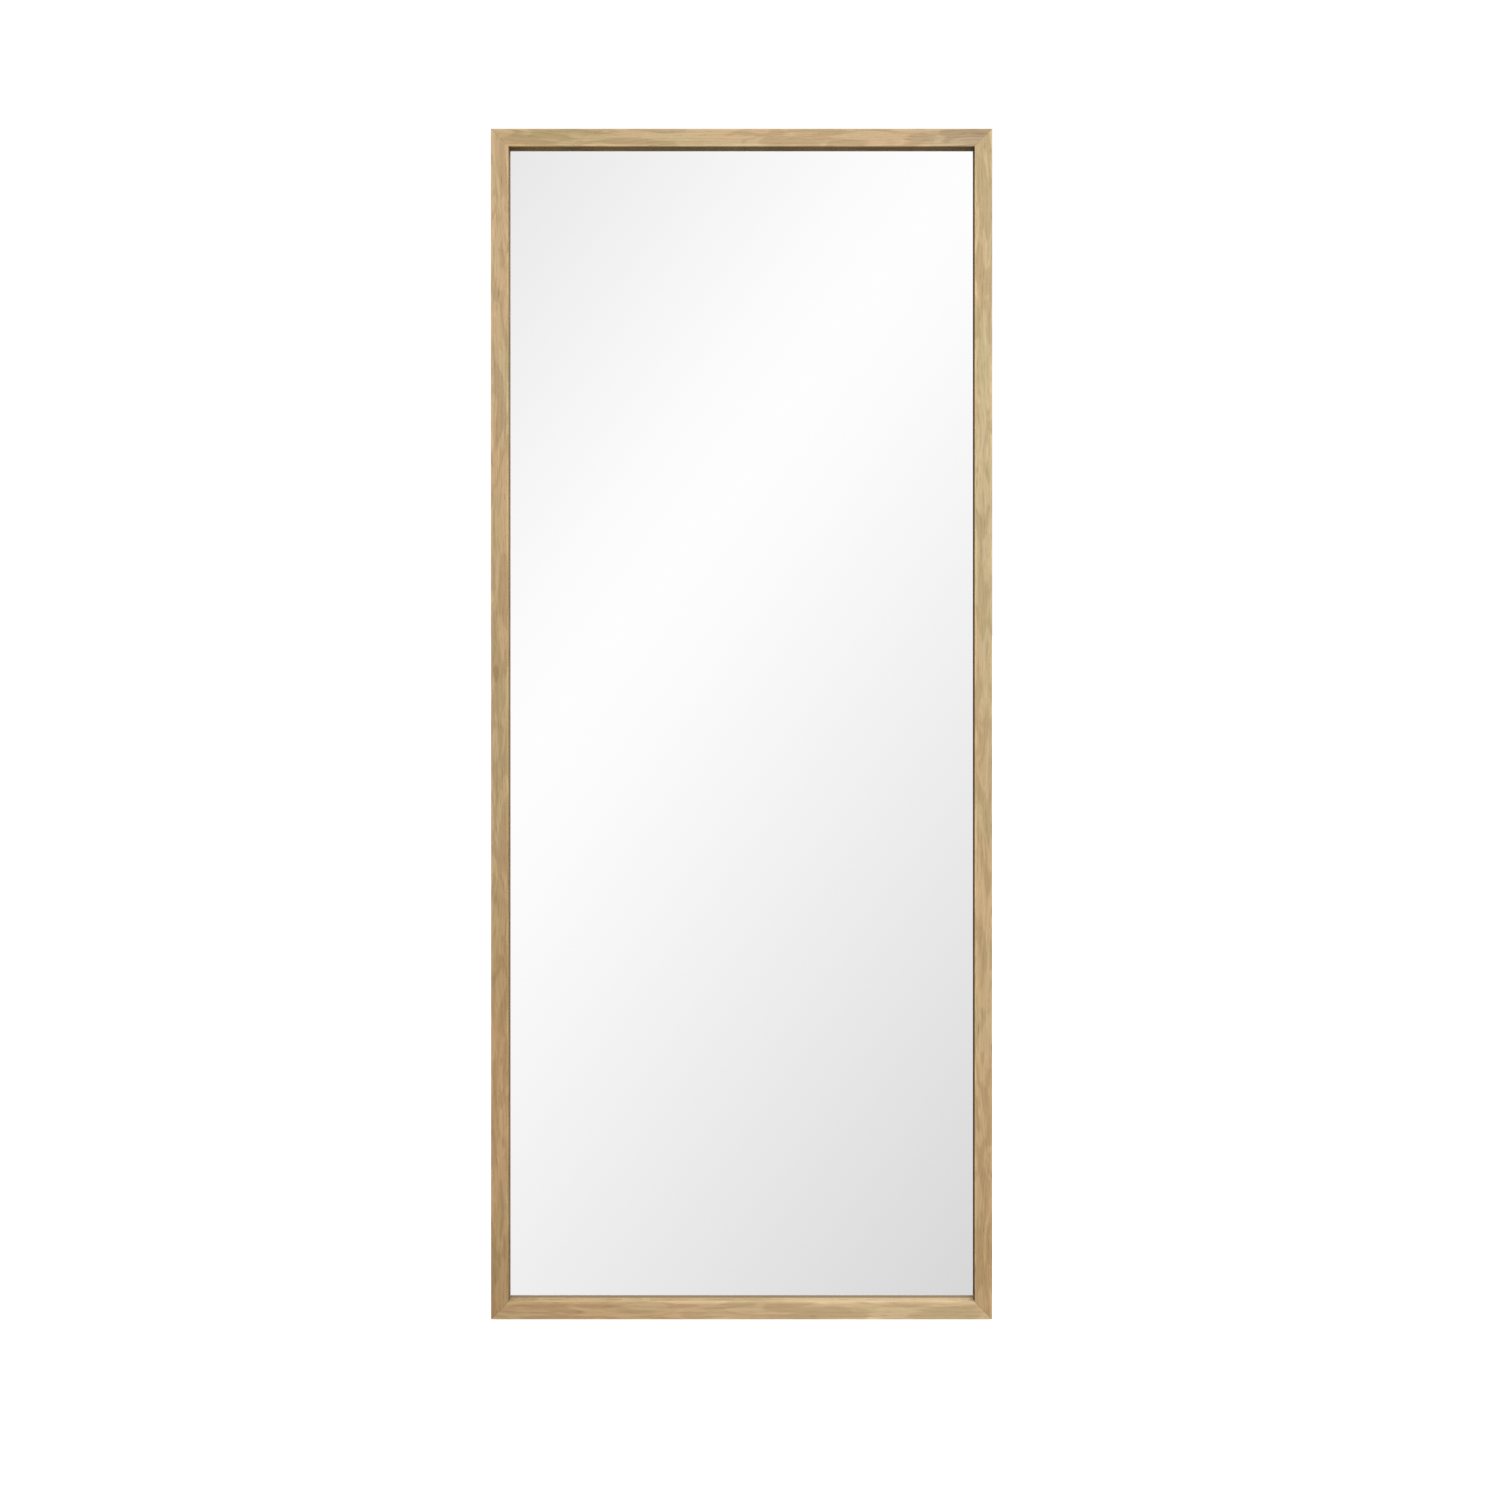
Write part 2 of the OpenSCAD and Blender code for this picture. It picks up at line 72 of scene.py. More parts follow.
# %% [markdown]
# ## The leaning frame of reference
#
# The mirror leans back, so none of its edges is level. It is easier to think of it upright:
# x across, y back from the front face, z up along the glass. The lean is worked out from the
# box round the glass, which is a thin slab. One matrix then turns upright places into
# leaning ones, and its inverse brings a CAD point back.

# %% Find the lean and the upright frame of reference
GLASS_T = 0.004
RECESS = 0.016

glass_lo, glass_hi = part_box("mirror_glass")
glass_size = glass_hi - glass_lo
lean = 0.1
for _ in range(20):
    lean = math.atan2(glass_size.y - GLASS_T * math.cos(lean), glass_size.z - GLASS_T * math.sin(lean))
glass_h = (glass_size.z - GLASS_T * math.sin(lean)) / math.cos(lean)
glass_w = glass_size.x

stile_lo, stile_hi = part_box("left_stile")
FRAME_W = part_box("right_stile")[1].x - stile_lo.x
GLASS_INSET = (FRAME_W - glass_w) / 2
FRAME_H = glass_h + 2 * GLASS_INSET
FACE_W = stile_hi.x - stile_lo.x

turn_back = Matrix.Rotation(-lean, 4, "X")
middle = turn_back @ Vector((0, RECESS + GLASS_T / 2, FRAME_H / 2))
LEANING = Matrix.Translation((glass_lo + glass_hi) / 2 - middle) @ turn_back
UPRIGHT = LEANING.inverted()

hinge = Vector(next(j["pos_m"] for j in frame["joints"] if j["name"] == "strut_fold"))
foot_lo, foot_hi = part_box("strut_feet")
foot = (foot_lo + foot_hi) / 2
strut_tilt = math.atan2(foot.y - hinge.y, hinge.z - foot.z)
print("lean %.2f, strut %.2f degrees, frame %.3f x %.3f m, face %.3f m" % (
    math.degrees(lean), math.degrees(strut_tilt), FRAME_W, FRAME_H, FACE_W))

# %% [markdown]
# ## Writing materials as expressions
#
# A Blender material is a graph of nodes. Wiring each Math node by hand hides the idea, so a
# small class wraps a node's output, and Python's + - * / on it add the Math nodes. A `Finish`
# is one material. Its `node` method makes every other node: it takes a type, the node's
# settings, then what its sockets hold.

# %% A socket that can be calculated with
class Value:
    """The output of a node, or a mask, that expressions can be written on."""

    def __init__(self, finish, socket):
        self.finish = finish
        self.socket = socket

    def math(self, operation, *others):
        return self.finish.node("ShaderNodeMath", {"operation": operation}, dict(enumerate((self, *others))))

    def __add__(self, other):
        return self.math("ADD", other)

    __radd__ = __add__

    def __sub__(self, other):
        return self.math("SUBTRACT", other)

    def __rsub__(self, other):
        return self.finish.node("ShaderNodeMath", {"operation": "SUBTRACT"}, {0: other, 1: self})

    def __mul__(self, other):
        return self.math("MULTIPLY", other)

    __rmul__ = __mul__

    def __truediv__(self, other):
        return self.math("DIVIDE", other)

    def size(self):
        """The value without its sign."""
        return self.math("ABSOLUTE")

    def ramp(self, low, high, smooth=True):
        """0 below low, 1 above high, and a soft step between them."""
        kind = "SMOOTHSTEP" if smooth else "LINEAR"
        return self.finish.node("ShaderNodeMapRange", {"interpolation_type": kind, "clamp": True},
                                {"Value": self, "From Min": low, "From Max": high})


class Finish:
    """A material with one Principled shader, and the one method that adds nodes to it."""

    def __init__(self, name, **constants):
        self.material = bpy.data.materials.new(name)
        self.material.use_nodes = True
        self.tree = self.material.node_tree
        self.shader = self.tree.nodes["Principled BSDF"]
        self.set(**constants)

    def set(self, **sockets):
        """Sets the shader's sockets: base_color=(...) or roughness=a mask."""
        for name, value in sockets.items():
            self.plug(self.shader.inputs[name.replace("_", " ").title().replace("Ior", "IOR")], value)

    def plug(self, socket, value):
        """Links a Value to a socket, or writes a number or colour in it."""
        if isinstance(value, Value):
            self.tree.links.new(value.socket, socket)
        elif socket.type == "RGBA" and len(value) == 3:
            socket.default_value = (*value, 1)
        else:
            socket.default_value = value

    def node(self, kind, settings=None, sockets=None, out=0):
        """Adds a node and gives back one of its outputs."""
        node = self.tree.nodes.new(kind)
        for name, value in (settings or {}).items():
            setattr(node, name, value)
        for name, value in (sockets or {}).items():
            self.plug(node.inputs[name], value)
        return Value(self, node.outputs[out])

    # -- the nodes that most finishes use --

    def place(self):
        """Object coordinates, which are the world's metres here, as no piece is moved."""
        return self.node("ShaderNodeTexCoord", out="Object")

    def place_in(self, upright):
        """Object coordinates brought to an upright frame by its matrix."""
        return self.node("ShaderNodeMapping", {"vector_type": "POINT"}, {
            "Vector": self.place(), "Location": upright.translation, "Rotation": upright.to_euler()})

    def vector(self, x, y, z):
        return self.node("ShaderNodeCombineXYZ", None, {0: x, 1: y, 2: z})

    def grey(self, amount):
        return self.vector(amount, amount, amount)

    def parts(self, vector):
        """The three parts of a vector."""
        node = self.node("ShaderNodeSeparateXYZ", None, {0: vector}).socket.node
        return [Value(self, s) for s in node.outputs]

    def vector_math(self, operation, *vectors, out=0):
        return self.node("ShaderNodeVectorMath", {"operation": operation}, dict(enumerate(vectors)), out)

    def dot(self, vector, axis):
        return self.vector_math("DOT_PRODUCT", vector, axis, out=1)

    def noise(self, vector, scale=1.0, detail=2.0, roughness=0.5, distortion=0.0):
        return self.node("ShaderNodeTexNoise", None, {
            "Vector": vector, "Scale": scale, "Detail": detail,
            "Roughness": roughness, "Distortion": distortion})

    def mix(self, share, low, high, blend="MIX"):
        """A colour between low and high."""
        return self.node("ShaderNodeMix", {"data_type": "RGBA", "blend_type": blend},
                         {0: share, 6: low, 7: high}, out=2)

    def shaded(self, colour, tint):
        return self.mix(1.0, colour, tint, "MULTIPLY")

    def tinted(self, colour, share, tint):
        """The colour where share is 0, and the colour times the tint where it is 1."""
        return self.mix(share, colour, self.shaded(colour, tint))

    def bump(self, height, distance):
        """A normal for a relief of so many metres."""
        return self.node("ShaderNodeBump", None, {"Height": height, "Distance": distance})


def linear(*srgb):
    """A colour given as 0 to 255 on a screen, as the light that a shader works in."""
    return tuple((c / 255) ** 2.2 for c in srgb)


print("mid grey on a screen is a light of %.3f" % linear(128)[0])

# %% [markdown]
# ## Oak
#
# The frame is pale oak under a matt oil. Up close, oak has three scales of figure. Growth
# rings run along a board as long wavy lines. Open pores make thin dark dashes on them. The
# whole board also drifts between straw, olive and pink. All three are stretched along the
# grain, so each board first needs its own axes: across, through and along it.

# %% Board axes
SEED_STEP = (0.37, 0.13, 1.7)


def board_axes(finish, along, upright, seed):
    """A place on a board's upright frame, and the board's own axes: across, through and along.
    Each seed moves the axes by SEED_STEP, so no two boards share their figure."""
    x, y, z = finish.parts(finish.place_in(upright))
    across, length = (x, z) if along == "z" else (z, x)
    origin = [seed * step for step in SEED_STEP]
    return (x, y, z), (across + origin[0], y + origin[1], length + origin[2])


def grained(finish, axes, cells, stretch):
    """Board axes with so many cells of noise a metre, drawn out along the grain."""
    across, through, length = axes
    return finish.vector(across * cells, through * cells, length * (cells / stretch))


# %% How far in from each side of the frame a place is
def from_left(x, z):
    return x + FRAME_W / 2


def from_right(x, z):
    return FRAME_W / 2 - x


def from_top(x, z):
    return FRAME_H - z


def from_bottom(x, z):
    return z


ends_of = {"z": (from_top, from_bottom), "x": (from_left, from_right)}
print("the frame's middle is %.3f m in from its left side" % from_left(0, 0))


# %% Growth rings
RINGS_PER_METRE = 190


def late_wood(wood, axes, seed):
    """The dark part of each ring. The rings' heart wanders, so the lines close into flames."""
    across, through, length = axes
    wander = wood.noise(grained(wood, axes, 16, 5)) - 0.5
    heart_x = across - (seed * SEED_STEP[0] + 0.045) + wander * 0.060
    heart_y = through - (seed * SEED_STEP[1] - 0.03) + wander * 0.030
    from_heart = (heart_x * heart_x + heart_y * heart_y).math("SQRT")
    ring = (from_heart * RINGS_PER_METRE + wood.noise(grained(wood, axes, 90, 12)) * 0.9).math("FRACT")
    return ring.ramp(0.25, 0.90) * (1 - ring.ramp(0.91, 1.0))


# %% Worn edges with a painted highlight, painted shade and light on the lips, and mitre lines of a board of the frame
# The edges are lighter from rubbed wear and from a painted highlight along the arrises.
RUBBED_AND_HIGHLIT = (1.20, 1.18, 1.15)
RUBBED_AND_HIGHLIT_WIDTHS = (0.0012, 0.0042)
MITRE_SHADE = (0.80, 0.76, 0.70)
MITRE_WIDTHS = (0.0003, 0.0009)


def frame_marks(wood, tone, place, along, lip, fleck):
    """The tone with the marks of a frame board, and a mask for its lip, which is the wall that
    faces the glass. The lip's tint is painted shade on the top and side lips and painted light
    on the bottom lip. lip holds the side, the depth at which this tint starts, and the tint."""
    side, seat, tint = lip
    x, y, z = place
    inward = side(x, z)
    to_outer = (inward * inward + y * y).math("SQRT")
    to_inner = ((inward - FACE_W) * (inward - FACE_W) + y * y).math("SQRT")
    # lighter bands along the outer and inner arrises: rubbed wear and a painted highlight
    worn_and_highlit_outside = (1 - to_outer.ramp(*RUBBED_AND_HIGHLIT_WIDTHS)) * 0.8 * fleck.ramp(0.25, 0.6)
    worn_and_highlit_inside = (1 - to_inner.ramp(*RUBBED_AND_HIGHLIT_WIDTHS)) * fleck.ramp(0.20, 0.5)
    tone = wood.tinted(tone, worn_and_highlit_outside, RUBBED_AND_HIGHLIT)
    tone = wood.tinted(tone, worn_and_highlit_inside, RUBBED_AND_HIGHLIT)
    # painted shade on the top and side lips, and painted light on the bottom lip's upper face
    painted_lip_shading = inward.ramp(FACE_W - 0.0006, FACE_W - 0.0002) * y.ramp(seat, seat + 0.0015)
    tone = wood.tinted(tone, painted_lip_shading, tint)
    low_end, high_end = ends_of[along]
    to_end = low_end(x, z).math("MINIMUM", high_end(x, z))
    mitre_line = 1 - (inward - to_end).size().ramp(*MITRE_WIDTHS)
    return wood.tinted(tone, mitre_line, MITRE_SHADE), painted_lip_shading


# %% The oak finish
EXPOSURE = (0.66, 0.66, 0.66)
LIGHT_FLAME = (1.08, 1.08, 1.07)
DARK_FLAME = (0.90, 0.885, 0.845)
LEAF_HALF_WIDTH = 0.0042
LEAF_HALF_LENGTH = 0.017


def oak(name, along, upright, seed, ends, patches=(), lip=None, mark=None):
    """Matt oiled oak. ends and patches hold places along the board, in metres, and colours.
    mark holds how far in and how far along the board a small dark leaf lies."""
    wood = Finish(name, ior=1.45, specular_ior_level=0.2)
    place, axes = board_axes(wood, along, upright, seed)
    x, _, z = place
    travel = z if along == "z" else x
    (start, first), (stop, last) = ends
    tone = wood.mix(travel.ramp(start, stop, smooth=False), linear(*first), linear(*last))
    for middle, reach, colour in patches:
        near = 1 - ((travel - middle).size() / reach).ramp(0.0, 1.0)
        tone = wood.mix(near, tone, linear(*colour))
    tone = wood.shaded(tone, EXPOSURE)

    # the figure, from broad clouds of pink and olive down to single pores
    late = late_wood(wood, axes, seed)
    cloud = wood.noise(grained(wood, axes, 17, 5))
    olive = wood.noise(grained(wood, axes, 38, 6))
    flame = wood.noise(grained(wood, axes, 60, 5.5), distortion=1.1)
    fleck = wood.noise(grained(wood, axes, 190, 5), detail=1, distortion=0.4)
    streak = wood.noise(grained(wood, axes, 260, 30), detail=3, roughness=0.6)
    pore = wood.noise(grained(wood, axes, 1300, 30), detail=1).ramp(0.58, 0.70) * late.ramp(0.05, 0.5)
    tone = wood.tinted(tone, cloud.ramp(0.42, 0.58), (1.03, 0.968, 0.945))
    tone = wood.tinted(tone, olive.ramp(0.52, 0.64) * 0.6, (0.93, 0.965, 0.90))
    tone = wood.mix(flame.ramp(0.44, 0.56), wood.shaded(tone, LIGHT_FLAME), wood.shaded(tone, DARK_FLAME))
    tone = wood.tinted(tone, late * 0.42, (0.86, 0.83, 0.78))
    tone = wood.tinted(tone, fleck.ramp(0.60, 0.72) * 0.6, (1.18, 1.15, 1.10))
    tone = wood.tinted(tone, streak.ramp(0.45, 0.72) * 0.5, (1.12, 1.12, 1.12))
    tone = wood.tinted(tone, pore * 0.5, (0.55, 0.48, 0.40))

    painted_lip_shading = 0.0
    if lip:
        tone, painted_lip_shading = frame_marks(wood, tone, place, along, lip, fleck)
    if mark:
        leaf_w = (lip[0](x, z) - mark[0]) / LEAF_HALF_WIDTH
        leaf_l = (travel - mark[1]) / LEAF_HALF_LENGTH
        leaf = 1 - (leaf_w * leaf_w + leaf_l * leaf_l + (fleck - 0.5) * 1.4).ramp(0.35, 1.1)
        tone = wood.tinted(tone, leaf * 0.8, (0.74, 0.68, 0.60))
    wood.set(base_color=tone,
             roughness=0.58 + flame * 0.10 - late * 0.08 + pore * 0.15 + painted_lip_shading * 0.35,
             normal=wood.bump(late * 0.35 + streak * 0.5 - pore, 0.00012))
    return wood


# %% One oak for each board
STRAW = (212, 190, 152)
HONEY = (188, 158, 115)
STRUT = (Matrix.Translation(hinge) @ Matrix.Rotation(strut_tilt, 4, "X")).inverted()
# The stiles get darker tones towards the floor, in their ends and in the patches near z = 0.02 m: painted
# shade against the floor's light.
oaks = {
    # The lip tints below are painted shade on the top and side lips and painted light on the bottom lip.
    "left_stile": oak("oak_left_stile", "z", UPRIGHT, 1,
                      ends=[(0.0, (176, 148, 109)), (FRAME_H, (186, 164, 128))],
                      patches=[(0.55, 0.22, (172, 143, 104)), (0.02, 0.30, (164, 137, 98))],
                      lip=(from_left, 0.003, (0.76, 0.71, 0.63)), mark=(0.008, 1.03)),
    "right_stile": oak("oak_right_stile", "z", UPRIGHT, 2,
                       ends=[(0.0, (186, 160, 120)), (FRAME_H, (195, 176, 139))],
                       patches=[(0.02, 0.45, (182, 155, 115))],
                       lip=(from_right, 0.002, (0.20, 0.17, 0.12))),
    "top_rail": oak("oak_top_rail", "x", UPRIGHT, 3,
                    ends=[(-0.38, (186, 161, 122)), (0.10, (193, 170, 134))],
                    patches=[(0.40, 0.16, (176, 155, 124))],
                    lip=(from_top, 0.002, (0.33, 0.30, 0.24))),
    "bottom_rail": oak("oak_bottom_rail", "x", UPRIGHT, 4,
                       ends=[(-0.38, (179, 154, 115)), (0.30, (200, 174, 136))],
                       lip=(from_bottom, 0.0, (1.45, 1.53, 1.64))),
    "strut_leg_left": oak("oak_leg_left", "z", STRUT, 5, [(-1.34, HONEY), (0.0, STRAW)]),
    "strut_leg_right": oak("oak_leg_right", "z", STRUT, 6, [(-1.34, HONEY), (0.0, STRAW)]),
    "strut_top_rail": oak("oak_strut_top_rail", "x", STRUT, 7, [(-0.2, STRAW), (0.2, HONEY)]),
    "strut_low_rail": oak("oak_strut_low_rail", "x", STRUT, 8, [(-0.2, HONEY), (0.2, STRAW)]),
}
print("oak boards:", sorted(oaks))

# %% [markdown]
# ## The plainer finishes at the back
#
# Behind the glass the maker saves money. The battens are planed pine, the back is hardboard
# with the weave of the press screen in it, and the hardware is zinc-plated or powder-coated
# steel. Each is a colour, a slow drift of that colour, and a bump at the scale of its texture.

# %% Pine, hardboard, steel, rubber
SCREEN_PITCH = 0.0022
RIB_PITCH = 0.003


def pine_finish():
    wood = Finish("pine", ior=1.45)
    _, axes = board_axes(wood, "x", UPRIGHT, 11)
    across, through, length = axes
    knots = wood.vector(across * 9, through * 2, length * 3.1)
    knot = wood.node("ShaderNodeTexVoronoi", {"feature": "F1"}, {"Vector": knots, "Scale": 1.0})
    core = 1 - knot.ramp(0.04, 0.13)
    swirl = wood.noise(grained(wood, axes, 12, 4), detail=3) * 2.4 + (1 - knot.ramp(0.0, 0.55)) * 1.6
    year = (across * 150 + swirl).math("FRACT")
    late = year.ramp(0.35, 0.95) * (1 - year.ramp(0.955, 1.0))
    streak = wood.noise(grained(wood, axes, 300, 40))
    drift = wood.noise(grained(wood, axes, 8, 3)).ramp(0.35, 0.65)
    tone = wood.mix(drift, linear(226, 200, 156), linear(215, 184, 136))
    tone = wood.mix(late * 0.6, tone, linear(196, 150, 96))
    tone = wood.mix(streak.ramp(0.5, 0.8) * 0.3, tone, linear(232, 212, 172))
    tone = wood.mix(core * 0.85, tone, linear(112, 70, 38))
    wood.set(base_color=tone, roughness=0.62 - late * 0.12 + streak * 0.1,
             normal=wood.bump(late * 0.5 + streak * 0.4, 0.00012))
    return wood


def hardboard_finish():
    board = Finish("hardboard", ior=1.45)
    x, y, z = board.parts(board.place())
    screen = 2 * math.pi / SCREEN_PITCH
    weave = (x * screen).math("SINE") * (z * screen).math("SINE")
    fibre = board.noise(board.vector(x * 260, y * 260, z * 420), detail=4, roughness=0.7)
    cloud = board.noise(board.place(), scale=3.2, detail=3)
    fleck = board.noise(board.place(), scale=700, detail=1).ramp(0.64, 0.72)
    scuff = board.noise(board.vector(x * 3, y, z * 24), detail=5, roughness=0.7).ramp(0.62, 0.75)
    tone = board.mix(cloud.ramp(0.3, 0.7), linear(118, 84, 56), linear(140, 103, 71))
    tone = board.mix(fibre.ramp(0.45, 0.75) * 0.6, tone, linear(158, 122, 88))
    tone = board.mix(fleck * 0.7, tone, linear(70, 46, 30))
    tone = board.mix(scuff * 0.35, tone, linear(172, 140, 108))
    board.set(base_color=tone, roughness=0.70 + fibre * 0.15 - scuff * 0.1,
              normal=board.bump(weave * 0.5 + fibre * 0.8, 0.0001))
    return board


def zinc_finish():
    metal = Finish("zinc_plate", ior=1.5, metallic=1.0)
    crystals = {"Vector": metal.place(), "Scale": 900}
    spot = metal.node("ShaderNodeTexVoronoi", {"feature": "F1"}, crystals, out=1)
    grey = metal.parts(spot)[0]
    cloud = metal.noise(metal.place(), scale=240, detail=3)
    stain = metal.noise(metal.place(), scale=60, detail=4, roughness=0.7).ramp(0.55, 0.8)
    tone = metal.mix(grey * 0.6, (0.44, 0.45, 0.47), (0.56, 0.57, 0.60))
    tone = metal.mix(stain * 0.45, tone, (0.40, 0.37, 0.31))
    metal.set(base_color=tone, roughness=0.27 + cloud * 0.16 + stain * 0.15,
              normal=metal.bump(cloud + grey * 0.2, 0.00004))
    return metal


def black_steel_finish():
    coat = Finish("black_powder_coat", ior=1.5, specular_ior_level=0.5)
    x, y, z = coat.parts(coat.place())
    peel = coat.noise(coat.place(), scale=1400)
    dust = coat.noise(coat.place(), scale=90, detail=5, roughness=0.75).ramp(0.55, 0.85)
    scratch = coat.noise(coat.vector(x * 900, y * 60, z * 60), detail=4).ramp(0.68, 0.74)
    tone = coat.mix(dust * 0.35, linear(38, 38, 40), linear(92, 90, 86))
    tone = coat.mix(scratch * 0.4, tone, linear(128, 126, 122))
    coat.set(base_color=tone, roughness=0.42 + peel * 0.12 + dust * 0.2,
             normal=coat.bump(peel - scratch * 0.5, 0.00006))
    return coat


def rubber_finish():
    rubber = Finish("rubber", ior=1.52)
    x, _, _ = rubber.parts(rubber.place())
    grain = rubber.noise(rubber.place(), scale=1800)
    dust = rubber.noise(rubber.place(), scale=120, detail=4, roughness=0.7).ramp(0.45, 0.8)
    ribs = (x * (2 * math.pi / RIB_PITCH)).math("SINE")
    rubber.set(base_color=rubber.mix(dust * 0.5, linear(40, 39, 38), linear(88, 85, 80)),
               roughness=0.72 + dust * 0.2, normal=rubber.bump(grain * 0.4 + ribs.ramp(-0.2, 0.6), 0.0002))
    return rubber


pine, hardboard, zinc = pine_finish(), hardboard_finish(), zinc_finish()
black_steel, rubber = black_steel_finish(), rubber_finish()
print("plain finishes:", [f.material.name for f in (pine, hardboard, zinc, black_steel, rubber)])

# %% [markdown]
# ## Glass
#
# A mirror is float glass with silver behind it and paint over the silver. Light would have
# to pass the glass twice, which costs time and changes little, so the front is a nearly
# perfect metal, a little under white for the light that is lost. Faint wipe marks in the
# roughness keep it from looking computed. A thin brown line of painted shade runs along the
# foot of the pane, just above the lip. The ground edge and the painted back are their own finishes.

# %% Silver, ground edge and back paint
SILVER = (0.939, 0.933, 0.935)
# The colour and reach of the painted shade line along the foot of the pane
SHADE_LINE_BROWN = linear(138, 119, 90)
SHADE_LINE_STARTS = (0.0026, 0.0036)
SHADE_LINE_ENDS = (0.0068, 0.0080)


def silver_finish():
    silver = Finish("silvering")
    upright = silver.place_in(UPRIGHT)
    x, y, z = silver.parts(upright)
    # The next lines paint a thin brown line of painted shade along the foot of the pane, just above the lip.
    shade_line_wander = silver.noise(upright, scale=420, detail=3) * 0.0008
    above_lip = z - FACE_W + shade_line_wander
    shade_line = above_lip.ramp(*SHADE_LINE_STARTS) * (1 - above_lip.ramp(*SHADE_LINE_ENDS))
    wipe = silver.noise(silver.vector(x * 5, y, z * 1.6), detail=4, roughness=0.6, distortion=0.8)
    wiped = wipe.ramp(0.55, 0.8)
    silver.set(base_color=silver.mix(shade_line, SILVER, SHADE_LINE_BROWN), metallic=1 - shade_line,
               roughness=0.004 + wiped * 0.010 + shade_line * 0.35)
    return silver


def edge_finish():
    edge = Finish("ground_edge", ior=1.52)
    grind = edge.noise(edge.place(), scale=1500)
    edge.set(base_color=edge.mix(grind, linear(120, 150, 138), linear(170, 190, 180)),
             roughness=0.3 + grind * 0.2, normal=edge.bump(grind, 0.00003))
    return edge


def back_paint_finish():
    paint = Finish("back_paint", ior=1.5)
    cloud = paint.noise(paint.place(), scale=8, detail=4)
    peel = paint.noise(paint.place(), scale=900, detail=1)
    paint.set(base_color=paint.mix(cloud, linear(86, 92, 92), linear(104, 109, 108)),
              roughness=0.45 + cloud * 0.1, normal=paint.bump(peel, 0.00004))
    return paint


silver, edge, back_paint = silver_finish(), edge_finish(), back_paint_finish()
print("glass finishes:", [f.material.name for f in (silver, edge, back_paint)])

# %% [markdown]
# ## Softening the CAD pieces
#
# CAD edges are perfectly sharp, and nothing sawn, sanded or stamped is. Each kept shape is
# copied from its CAD node, its loose triangles are merged, and the sharp edges are bevelled
# by a fraction of a millimetre. Two small bevels that meet at a mitre also make the fine
# line that shows where two boards join.

# %% Between CAD nodes, shapes and objects
def merged(node):
    """The shape of a CAD node, with its loose triangles joined."""
    shape = bmesh.new()
    shape.from_mesh(frame["nodes"][node].data)
    bmesh.ops.remove_doubles(shape, verts=shape.verts, dist=2e-6)
    return shape


def as_mesh(name, shape):
    """Turns a shape into a mesh, and frees the shape."""
    mesh = bpy.data.meshes.new(name)
    shape.to_mesh(mesh)
    shape.free()
    return mesh


def in_scene(name, mesh):
    thing = bpy.data.objects.new(name, mesh)
    bpy.context.scene.collection.objects.link(thing)
    return thing


def add_piece(name, mesh, node):
    """Puts a mesh in the scene on the body of the CAD node that it stands for."""
    piece = in_scene(name, mesh)
    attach(piece, frame["nodes"][node]["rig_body"])
    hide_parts(node)


def bevel_edges(shape, edges, width, segments=2):
    bmesh.ops.bevel(shape, geom=edges, offset=width, offset_type="OFFSET", segments=segments,
                    profile=0.5, affect="EDGES", clamp_overlap=True, material=-1)


# %% A softened copy of a CAD node
CREASE = math.radians(28)


def softened(node, finish, bevel=0.0004, segments=2):
    """Adds a copy of a CAD node with merged faces, small bevels on its sharp edges and a finish."""
    shape = merged(node)
    bmesh.ops.dissolve_limit(shape, angle_limit=math.radians(0.4), verts=shape.verts, edges=shape.edges)
    if bevel:
        folds = [e for e in shape.edges if len(e.link_faces) == 2]
        bevel_edges(shape, [e for e in folds if e.calc_face_angle() > CREASE], bevel, segments)
    for face in shape.faces:
        face.smooth = True
    mesh = as_mesh(node + "_finished", shape)
    mesh.set_sharp_from_angle(angle=CREASE + math.radians(6))
    mesh.materials.clear()
    mesh.materials.append(finish.material)
    add_piece(node + "_finished", mesh, node)


for node, finish in oaks.items():
    softened(node, finish, bevel=0.0005 if "strut" in node else 0.00035, segments=3)
for node in ("upper_batten", "lower_batten"):
    softened(node, pine, bevel=0.0008, segments=3)
softened("rub_blocks", pine, bevel=0.0006)
softened("backing_board", hardboard, bevel=0.0005)
softened("floor_pads", rubber, bevel=0.0004)
softened("strut_feet", rubber, bevel=0.0006)
for side in ("left", "right"):
    softened("hinge_bracket_" + side, black_steel, bevel=0.0004)
    softened("stay_track_" + side, black_steel, bevel=0.0004)
    softened("stay_arm_" + side, black_steel, bevel=0.0004)
    softened("hanger_plate_" + side, zinc, bevel=0.0002)
    softened("hanger_ring_" + side, zinc, bevel=0)
    softened("slide_pin_" + side, zinc, bevel=0.0004)
for node in ("corner_plates", "hinge_bolts", "hinge_washers", "hinge_nuts",
             "stay_bolts", "stay_washers", "stay_nuts"):
    softened(node, zinc, bevel=0.0003)

# %% Finishes for the CAD pieces that stay hidden inside the joints
for node, finish in {"mitre_splines": pine, "strut_dowels": pine, "setting_blocks": rubber}.items():
    mesh = frame["nodes"][node].data
    mesh.materials.clear()
    mesh.materials.append(finish.material)
print("kept CAD nodes: mitre splines, dowels, setting blocks")

# %% [markdown]
# ## The pane
#
# The pane is one slab. A cube is scaled to the size of the glass, its arrises are taken off
# with a small bevel, as a glass grinder does, and the faces are given silver, edge or paint
# by the way that they look.

# %% The silvered pane
ARRIS = 0.0006


